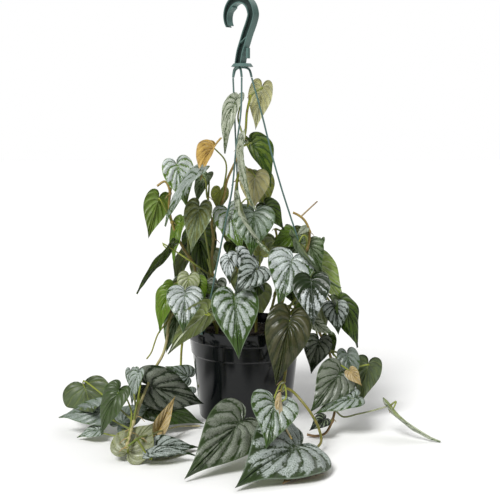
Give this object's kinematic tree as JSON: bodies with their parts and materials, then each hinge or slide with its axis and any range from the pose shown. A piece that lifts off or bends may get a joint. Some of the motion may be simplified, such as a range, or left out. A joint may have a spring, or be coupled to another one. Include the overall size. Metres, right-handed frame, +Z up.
{
  "type": "potted philodendron",
  "caption": "Heart-leaved trailing house plant with silver-veined leaves, rooted in a tapered black hanging pot whose straps meet at a channelled hook.",
  "frame": {"origin": "centre of the pot's flat underside", "axes": "+Z up along the pot's axis to the hook, -Y towards the viewer of the picture, +X to the viewer's right"},
  "size_m": [0.4592, 0.3939, 0.5331],
  "materials": {
    "pot_plastic": "glossy near-black moulded plastic",
    "compost": "loose dark bark and peat compost",
    "hanger_plastic": "satin grey-green moulded plastic",
    "leaf": "satin green leaf with silver between dark veins"
  },
  "bodies": {
    "root": {"pot": "pot_plastic", "soil": "compost", "hanger_hook": "hanger_plastic", "strand_right": "hanger_plastic", "strand_front": "hanger_plastic", "strand_back": "hanger_plastic", "vine_centre_tall": "leaf", "vine_centre_left": "leaf", "vine_left": "leaf", "vine_centre_right": "leaf", "vine_right": "leaf", "vine_right_front": "leaf", "vine_front_centre": "leaf", "vine_front_left": "leaf", "vine_left_trailing": "leaf", "vine_right_trailing": "leaf", "vine_front_trailing": "leaf", "vine_back_left_trailing": "leaf", "vine_back_right": "leaf", "vine_back_middle": "leaf", "vine_back_left": "leaf"}
  },
  "joints": []
}
